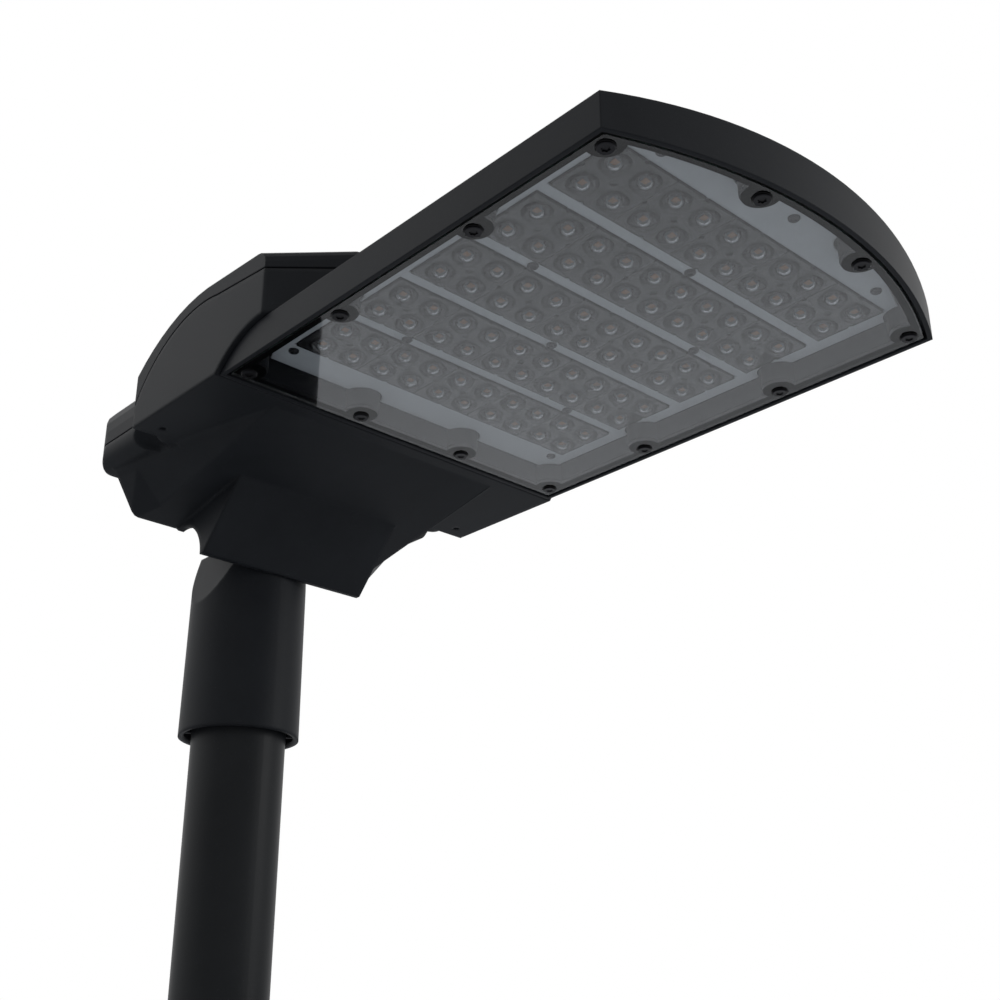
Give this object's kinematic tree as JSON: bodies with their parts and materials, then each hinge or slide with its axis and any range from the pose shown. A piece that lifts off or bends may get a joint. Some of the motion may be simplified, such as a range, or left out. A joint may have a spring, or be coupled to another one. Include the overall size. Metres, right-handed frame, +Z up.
{
  "type": "led street light",
  "caption": "Flat LED road luminaire with a curved nose, flat glass over square lens modules, raised gear housing and a post-top spigot on a pole end.",
  "frame": {"origin": "centre of the pole section's lower cut end", "axes": "+Z up along the pole, +X from the pole towards the nose of the lamp head, +Y to the head's left side"},
  "size_m": [0.662, 0.331, 0.5144],
  "materials": {
    "pole_coating": "satin",
    "head_coating": "satin",
    "toughened_glass": "polished",
    "silicone": "matte",
    "dark_steel": "satin",
    "bright_steel": "satin",
    "plate_coating": "matte",
    "board_mask": "satin",
    "phosphor": "matte",
    "clear_acrylic": "polished",
    "driver_case": "satin",
    "module_case": "matte",
    "terminal_plastic": "matte",
    "nylon": "matte"
  },
  "bodies": {
    "root": {"pole_section": "pole_coating", "spigot": "head_coating", "spigot_clamp_screws": "bright_steel", "pivot_bolt": "bright_steel", "pivot_washers": "bright_steel", "pivot_nut": "bright_steel", "optic_frame": "head_coating", "frame_screws": "bright_steel", "wire_grommet": "silicone", "cover_glass": "toughened_glass", "glass_gasket": "silicone", "glass_screws": "dark_steel", "glass_screw_seals": "silicone", "cover_plate": "plate_coating", "plate_screws": "dark_steel", "led_board_1": "board_mask", "led_board_2": "board_mask", "led_board_3": "board_mask", "led_board_4": "board_mask", "led_board_5": "board_mask", "led_chips_1": "phosphor", "led_chips_2": "phosphor", "led_chips_3": "phosphor", "led_chips_4": "phosphor", "led_chips_5": "phosphor", "lens_strip_1": "clear_acrylic", "lens_strip_2": "clear_acrylic", "lens_strip_3": "clear_acrylic", "lens_strip_4": "clear_acrylic", "lens_strip_5": "clear_acrylic", "gear_housing": "head_coating", "canopy": "head_coating", "canopy_gasket": "silicone", "canopy_screws": "bright_steel", "gear_tray": "bright_steel", "tray_screws": "bright_steel", "driver": "driver_case", "surge_protector": "module_case", "terminal_block": "terminal_plastic", "cable_gland": "nylon", "gland_nut": "nylon", "pressure_vent": "nylon"}
  },
  "joints": []
}
